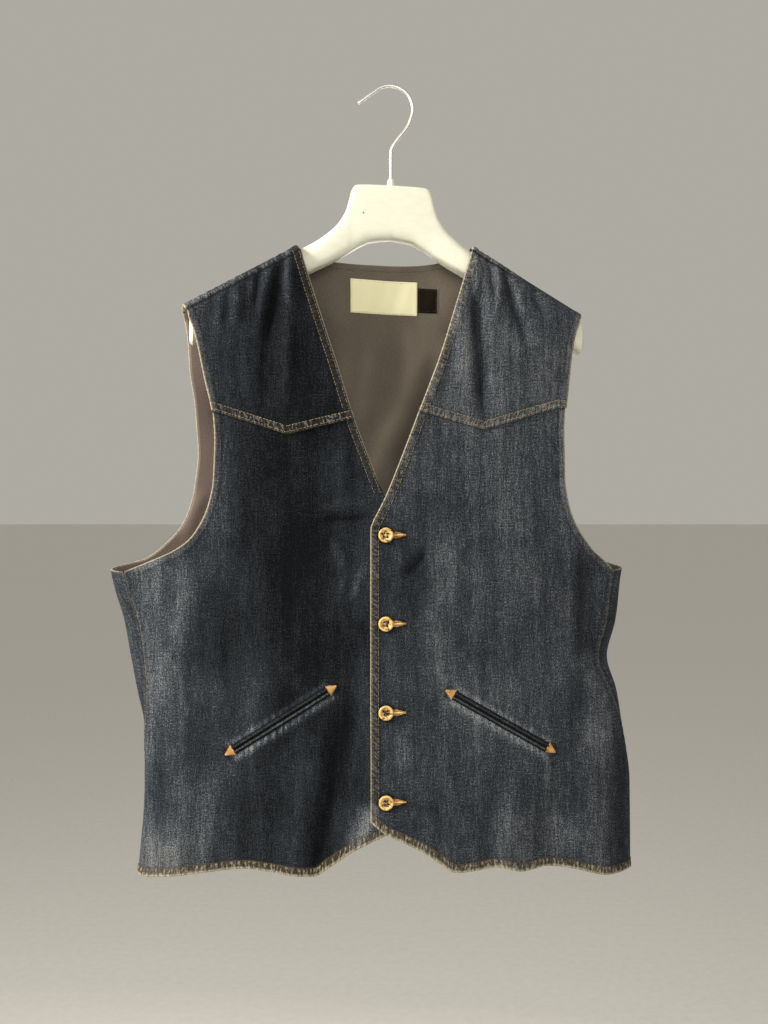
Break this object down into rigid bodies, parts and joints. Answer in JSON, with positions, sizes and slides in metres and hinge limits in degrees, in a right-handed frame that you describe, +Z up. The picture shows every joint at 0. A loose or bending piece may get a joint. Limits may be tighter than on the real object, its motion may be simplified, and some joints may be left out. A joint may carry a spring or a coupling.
{
  "type": "denim vest on hanger",
  "caption": "Buttoned western denim vest with pointed yokes, slanted pockets and grey lining, hanging on a white moulded hanger by its wire hook.",
  "frame": {"origin": "underside of the hook's crown, where a rail carries the hanger", "axes": "+Z up along the hanging vest, +X to the wearer's left, front facing -Y"},
  "size_m": [0.5423, 0.1234, 0.8265],
  "materials": {
    "denim": "washed indigo twill",
    "lining": "grey satin lining",
    "horn": "marbled cream and brown",
    "thread": "tan silk thread",
    "label_cream": "bare woven cream label",
    "label_brown": "bare woven dark brown label",
    "plastic": "white moulded plastic",
    "steel": "plated wire"
  },
  "bodies": {
    "root": {"back": "denim", "back_lining": "lining", "button_1": "horn", "button_2": "horn", "button_3": "horn", "button_4": "horn", "front_left": "denim", "front_right": "denim", "hanger_body": "plastic", "hanger_collar": "plastic", "hanger_hook": "steel", "jet_left_lower": "denim", "jet_left_upper": "denim", "jet_right_lower": "denim", "jet_right_upper": "denim", "label_care": "label_brown", "label_main": "label_cream", "tack_left_inner": "thread", "tack_left_outer": "thread", "tack_right_inner": "thread", "tack_right_outer": "thread", "yoke_left": "denim", "yoke_right": "denim"}
  },
  "joints": []
}
